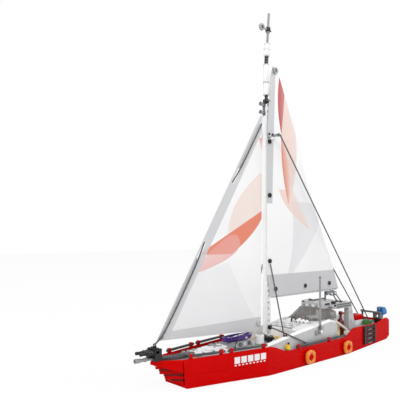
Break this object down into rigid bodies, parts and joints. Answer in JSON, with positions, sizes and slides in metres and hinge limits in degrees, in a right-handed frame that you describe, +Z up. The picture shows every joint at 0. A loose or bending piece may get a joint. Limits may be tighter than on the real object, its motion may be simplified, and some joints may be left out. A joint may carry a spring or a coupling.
{
  "type": "sailing yacht display model",
  "caption": "Display model of a two-sail racing yacht on a flat-bottomed red hull, built from studded interlocking pieces, with deck gear, rails and rigging lines.",
  "frame": {"origin": "centre of the flat bottom, half way along the hull, on the centre plane", "axes": "+X towards the bow, +Y to port, +Z up"},
  "size_m": [0.4831, 0.0926, 0.4743],
  "materials": {
    "red_plastic": "glossy moulded red",
    "dark_grey_plastic": "glossy moulded dark grey",
    "light_grey_plastic": "glossy moulded light grey",
    "white_plastic": "glossy moulded white",
    "black_plastic": "glossy moulded black",
    "tan_plastic": "glossy moulded tan",
    "purple_plastic": "glossy moulded purple",
    "orange_plastic": "glossy moulded orange",
    "blue_plastic": "glossy moulded blue",
    "dark_red_plastic": "glossy moulded dark red",
    "smoked_clear": "smoked clear plastic",
    "sail_foil": "printed flexible foil sheet",
    "stay_cord": "dark flexible cord",
    "rubber_hose": "ribbed flexible hose"
  },
  "bodies": {
    "hull": {"aft_deck": "tan_plastic", "anchor_hose": "rubber_hose", "arch": "light_grey_plastic", "backstay_port": "stay_cord", "backstay_starboard": "stay_cord", "bottom_plate": "red_plastic", "cabin_roof": "light_grey_plastic", "canister": "white_plastic", "coachroof": "white_plastic", "coaming_port": "white_plastic", "coaming_starboard": "white_plastic", "deck_gear": "white_plastic", "dinghy": "purple_plastic", "dinghy_cradle": "dark_grey_plastic", "foredeck": "tan_plastic", "forestay": "stay_cord", "gas_bottle": "dark_red_plastic", "helm_console": "light_grey_plastic", "hull_frames": "dark_grey_plastic", "jib": "sail_foil", "jib_sheet": "stay_cord", "keel_spine": "dark_grey_plastic", "ladder": "black_plastic", "mainsheet": "stay_cord", "mast_beam": "light_grey_plastic", "mast_fittings": "light_grey_plastic", "mast_joints": "black_plastic", "mast_rod": "dark_grey_plastic", "mast_sleeves": "white_plastic", "mid_deck": "tan_plastic", "name_tiles": "white_plastic", "outboard_bracket": "black_plastic", "pushpit": "dark_grey_plastic", "rail_bars": "dark_grey_plastic", "rail_clips": "red_plastic", "ring_pins": "red_plastic", "seats": "tan_plastic", "shroud_port": "stay_cord", "shroud_starboard": "stay_cord", "side_lower_port": "red_plastic", "side_lower_starboard": "red_plastic", "side_upper_port": "red_plastic", "side_upper_starboard": "red_plastic", "stem_stack": "red_plastic", "stemhead": "black_plastic", "stern_boxes": "red_plastic", "transom": "red_plastic", "windscreen": "smoked_clear"},
    "boom": {"boom": "light_grey_plastic", "boom_pins": "black_plastic", "mainsail": "sail_foil"},
    "wind_vane": {"wind_vane": "black_plastic"},
    "antenna": {"antenna": "light_grey_plastic"},
    "outboard": {"outboard": "blue_plastic"},
    "winch": {"winch": "black_plastic"},
    "life_ring_aft_port": {"life_ring_aft_port": "orange_plastic"},
    "life_ring_aft_starboard": {"life_ring_aft_starboard": "orange_plastic"},
    "life_ring_fore_port": {"life_ring_fore_port": "orange_plastic"},
    "life_ring_fore_starboard": {"life_ring_fore_starboard": "orange_plastic"}
  },
  "joints": [
    {"name": "boom_swing", "type": "hinge", "parent": "hull", "child": "boom", "pos_m": [0.029, 0, 0.0921], "axis": [0, 0, 1], "range_deg": [-3, 3]},
    {"name": "wind_vane_spin", "type": "hinge", "parent": "hull", "child": "wind_vane", "pos_m": [0.02522, 0, 0.4512], "axis": [-0.0785, 0, 0.9969], "continuous": true},
    {"name": "antenna_fold", "type": "hinge", "parent": "hull", "child": "antenna", "pos_m": [-0.041, 0.036, 0.0396], "axis": [0, 1, 0], "range_deg": [-75, 60]},
    {"name": "outboard_tilt", "type": "hinge", "parent": "hull", "child": "outboard", "pos_m": [-0.225, 0.017, 0.0427], "axis": [0, 1, 0], "range_deg": [0, 50]},
    {"name": "winch_turn", "type": "hinge", "parent": "hull", "child": "winch", "pos_m": [0.038, 0.014, 0.0347], "axis": [0, 0, 1], "continuous": true},
    {"name": "life_ring_aft_port_turn", "type": "hinge", "parent": "hull", "child": "life_ring_aft_port", "pos_m": [-0.0971, 0.0434, 0.011], "axis": [0, 1, 0], "continuous": true},
    {"name": "life_ring_aft_starboard_turn", "type": "hinge", "parent": "hull", "child": "life_ring_aft_starboard", "pos_m": [-0.0971, -0.0434, 0.011], "axis": [0, 1, 0], "continuous": true},
    {"name": "life_ring_fore_port_turn", "type": "hinge", "parent": "hull", "child": "life_ring_fore_port", "pos_m": [-0.0091, 0.0434, 0.011], "axis": [0, 1, 0], "continuous": true},
    {"name": "life_ring_fore_starboard_turn", "type": "hinge", "parent": "hull", "child": "life_ring_fore_starboard", "pos_m": [-0.0091, -0.0434, 0.011], "axis": [0, 1, 0], "continuous": true}
  ]
}
